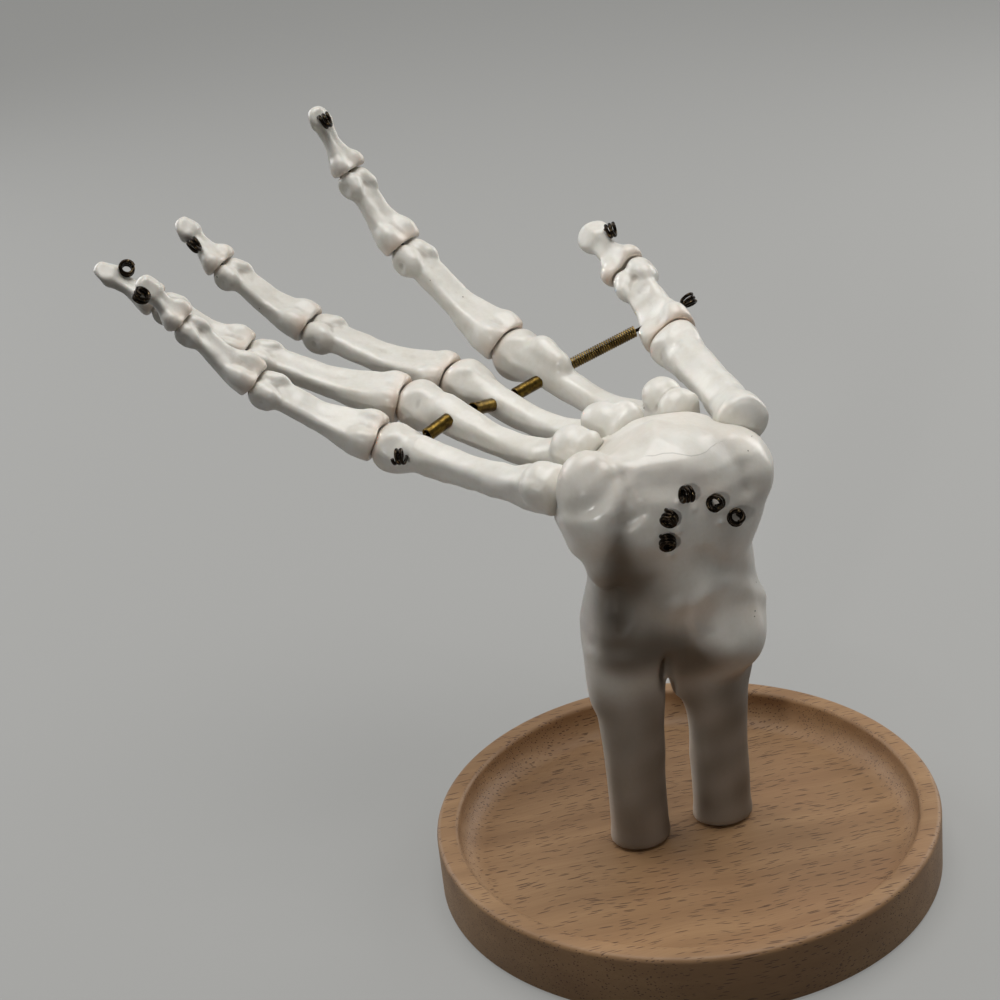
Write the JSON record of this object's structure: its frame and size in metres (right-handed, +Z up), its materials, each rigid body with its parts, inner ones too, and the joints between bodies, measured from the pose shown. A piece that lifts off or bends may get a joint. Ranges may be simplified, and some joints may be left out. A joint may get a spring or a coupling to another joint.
{
  "type": "skeleton hand jewelry holder",
  "caption": "Palm-up skeleton hand of strung bones on a forearm stand and a round wooden tray, to hold rings and other jewelry.",
  "frame": {"origin": "middle of the tray's underside", "axes": "+Z up, the fingers point along -X, the thumb side lies towards +Y"},
  "size_m": [0.2084, 0.1448, 0.1699],
  "materials": {
    "bone": "glossy ivory resin, brown wash in the hollows",
    "wrist_ivory": "hand-formed ivory, semi-gloss, dark wash low down",
    "beech": "oiled beech with short dark pores",
    "bronze_wire": "dark bronze wire, wound into eyes",
    "brass": "aged brass, dark in its grooves",
    "steel": "zinc-plated"
  },
  "bodies": {
    "stand": {"tray": "beech", "wrist_block": "wrist_ivory", "ulna_screw": "steel", "radius_screw": "steel", "index_metacarpal": "bone", "index_wire": "bronze_wire", "middle_metacarpal": "bone", "middle_wire": "bronze_wire", "ring_metacarpal": "bone", "ring_wire": "bronze_wire", "little_metacarpal": "bone", "little_wire": "bronze_wire", "thumb_metacarpal": "bone", "thumb_wire": "bronze_wire", "knuckle_wire": "bronze_wire", "little_ring_tube": "brass", "ring_middle_tube": "brass", "middle_index_tube": "brass", "thumb_spring": "brass"},
    "index_proximal": {"index_proximal": "bone"},
    "index_middle": {"index_middle": "bone"},
    "index_distal": {"index_distal": "bone", "index_tip_eye": "bronze_wire"},
    "middle_proximal": {"middle_proximal": "bone"},
    "middle_middle": {"middle_middle": "bone"},
    "middle_distal": {"middle_distal": "bone", "middle_tip_eye": "bronze_wire"},
    "ring_proximal": {"ring_proximal": "bone"},
    "ring_middle": {"ring_middle": "bone"},
    "ring_distal": {"ring_distal": "bone", "ring_tip_eye": "bronze_wire"},
    "little_proximal": {"little_proximal": "bone"},
    "little_middle": {"little_middle": "bone"},
    "little_distal": {"little_distal": "bone", "little_tip_eye": "bronze_wire"},
    "thumb_proximal": {"thumb_proximal": "bone", "thumb_wire_end": "bronze_wire"},
    "thumb_distal": {"thumb_distal": "bone", "thumb_tip_eye": "bronze_wire"}
  },
  "joints": [
    {"name": "index_knuckle", "type": "hinge", "parent": "stand", "child": "index_proximal", "pos_m": [-0.065, 0.0405, 0.1075], "axis": [0.0925, 0.9911, 0.0958], "range_deg": [-48, 32], "deforming": ["index_wire"]},
    {"name": "index_middle_joint", "type": "hinge", "parent": "index_proximal", "child": "index_middle", "pos_m": [-0.09651, 0.04122, 0.13047], "axis": [0.0784, 0.9913, 0.1061], "range_deg": [-21, 59], "deforming": ["index_wire"]},
    {"name": "index_tip_joint", "type": "hinge", "parent": "index_middle", "child": "index_distal", "pos_m": [-0.11164, 0.04036, 0.14972], "axis": [0.0676, 0.9905, 0.1198], "range_deg": [-18, 42], "deforming": ["index_wire"]},
    {"name": "middle_knuckle", "type": "hinge", "parent": "stand", "child": "middle_proximal", "pos_m": [-0.07, 0.024, 0.1045], "axis": [-0.0838, 0.9861, 0.1434], "range_deg": [-30, 50], "deforming": ["middle_wire"]},
    {"name": "middle_middle_joint", "type": "hinge", "parent": "middle_proximal", "child": "middle_middle", "pos_m": [-0.11125, 0.01889, 0.11552], "axis": [-0.1173, 0.9814, 0.1523], "range_deg": [-23, 57], "deforming": ["middle_wire"]},
    {"name": "middle_tip_joint", "type": "hinge", "parent": "middle_middle", "child": "middle_distal", "pos_m": [-0.13519, 0.01363, 0.13102], "axis": [-0.1173, 0.9814, 0.1523], "range_deg": [-23, 37], "deforming": ["middle_wire"]},
    {"name": "ring_knuckle", "type": "hinge", "parent": "stand", "child": "ring_proximal", "pos_m": [-0.072, 0.0075, 0.105], "axis": [-0.2285, 0.9448, 0.2349], "range_deg": [-32, 43], "deforming": ["ring_wire"]},
    {"name": "ring_middle_joint", "type": "hinge", "parent": "ring_proximal", "child": "ring_middle", "pos_m": [-0.11138, -0.00499, 0.11693], "axis": [-0.2444, 0.9396, 0.2397], "range_deg": [-22, 58], "deforming": ["ring_wire"]},
    {"name": "ring_tip_joint", "type": "hinge", "parent": "ring_middle", "child": "ring_distal", "pos_m": [-0.13154, -0.01377, 0.1308], "axis": [-0.2713, 0.9272, 0.2582], "range_deg": [-10, 50], "deforming": ["ring_wire"]},
    {"name": "little_knuckle", "type": "hinge", "parent": "stand", "child": "little_proximal", "pos_m": [-0.068, -0.0085, 0.1005], "axis": [-0.1586, 0.931, 0.3289], "range_deg": [-43, 37], "deforming": ["little_wire"]},
    {"name": "little_middle_joint", "type": "hinge", "parent": "little_proximal", "child": "little_middle", "pos_m": [-0.09744, -0.01874, 0.11529], "axis": [-0.1586, 0.931, 0.3289], "range_deg": [-27, 53], "deforming": ["little_wire"]},
    {"name": "little_tip_joint", "type": "hinge", "parent": "little_middle", "child": "little_distal", "pos_m": [-0.11135, -0.0269, 0.13169], "axis": [-0.1586, 0.931, 0.3289], "range_deg": [-17, 43], "deforming": ["little_wire"]},
    {"name": "thumb_knuckle", "type": "hinge", "parent": "stand", "child": "thumb_proximal", "pos_m": [-0.0262, 0.0545, 0.1091], "axis": [0.6442, 0.4452, 0.622], "range_deg": [-23, 37], "deforming": ["thumb_wire", "thumb_spring", "knuckle_wire"]},
    {"name": "thumb_tip_joint", "type": "hinge", "parent": "thumb_proximal", "child": "thumb_distal", "pos_m": [-0.04825, 0.07205, 0.11938], "axis": [0.5498, 0.5131, 0.6591], "range_deg": [-25, 45], "deforming": ["thumb_wire"]}
  ]
}
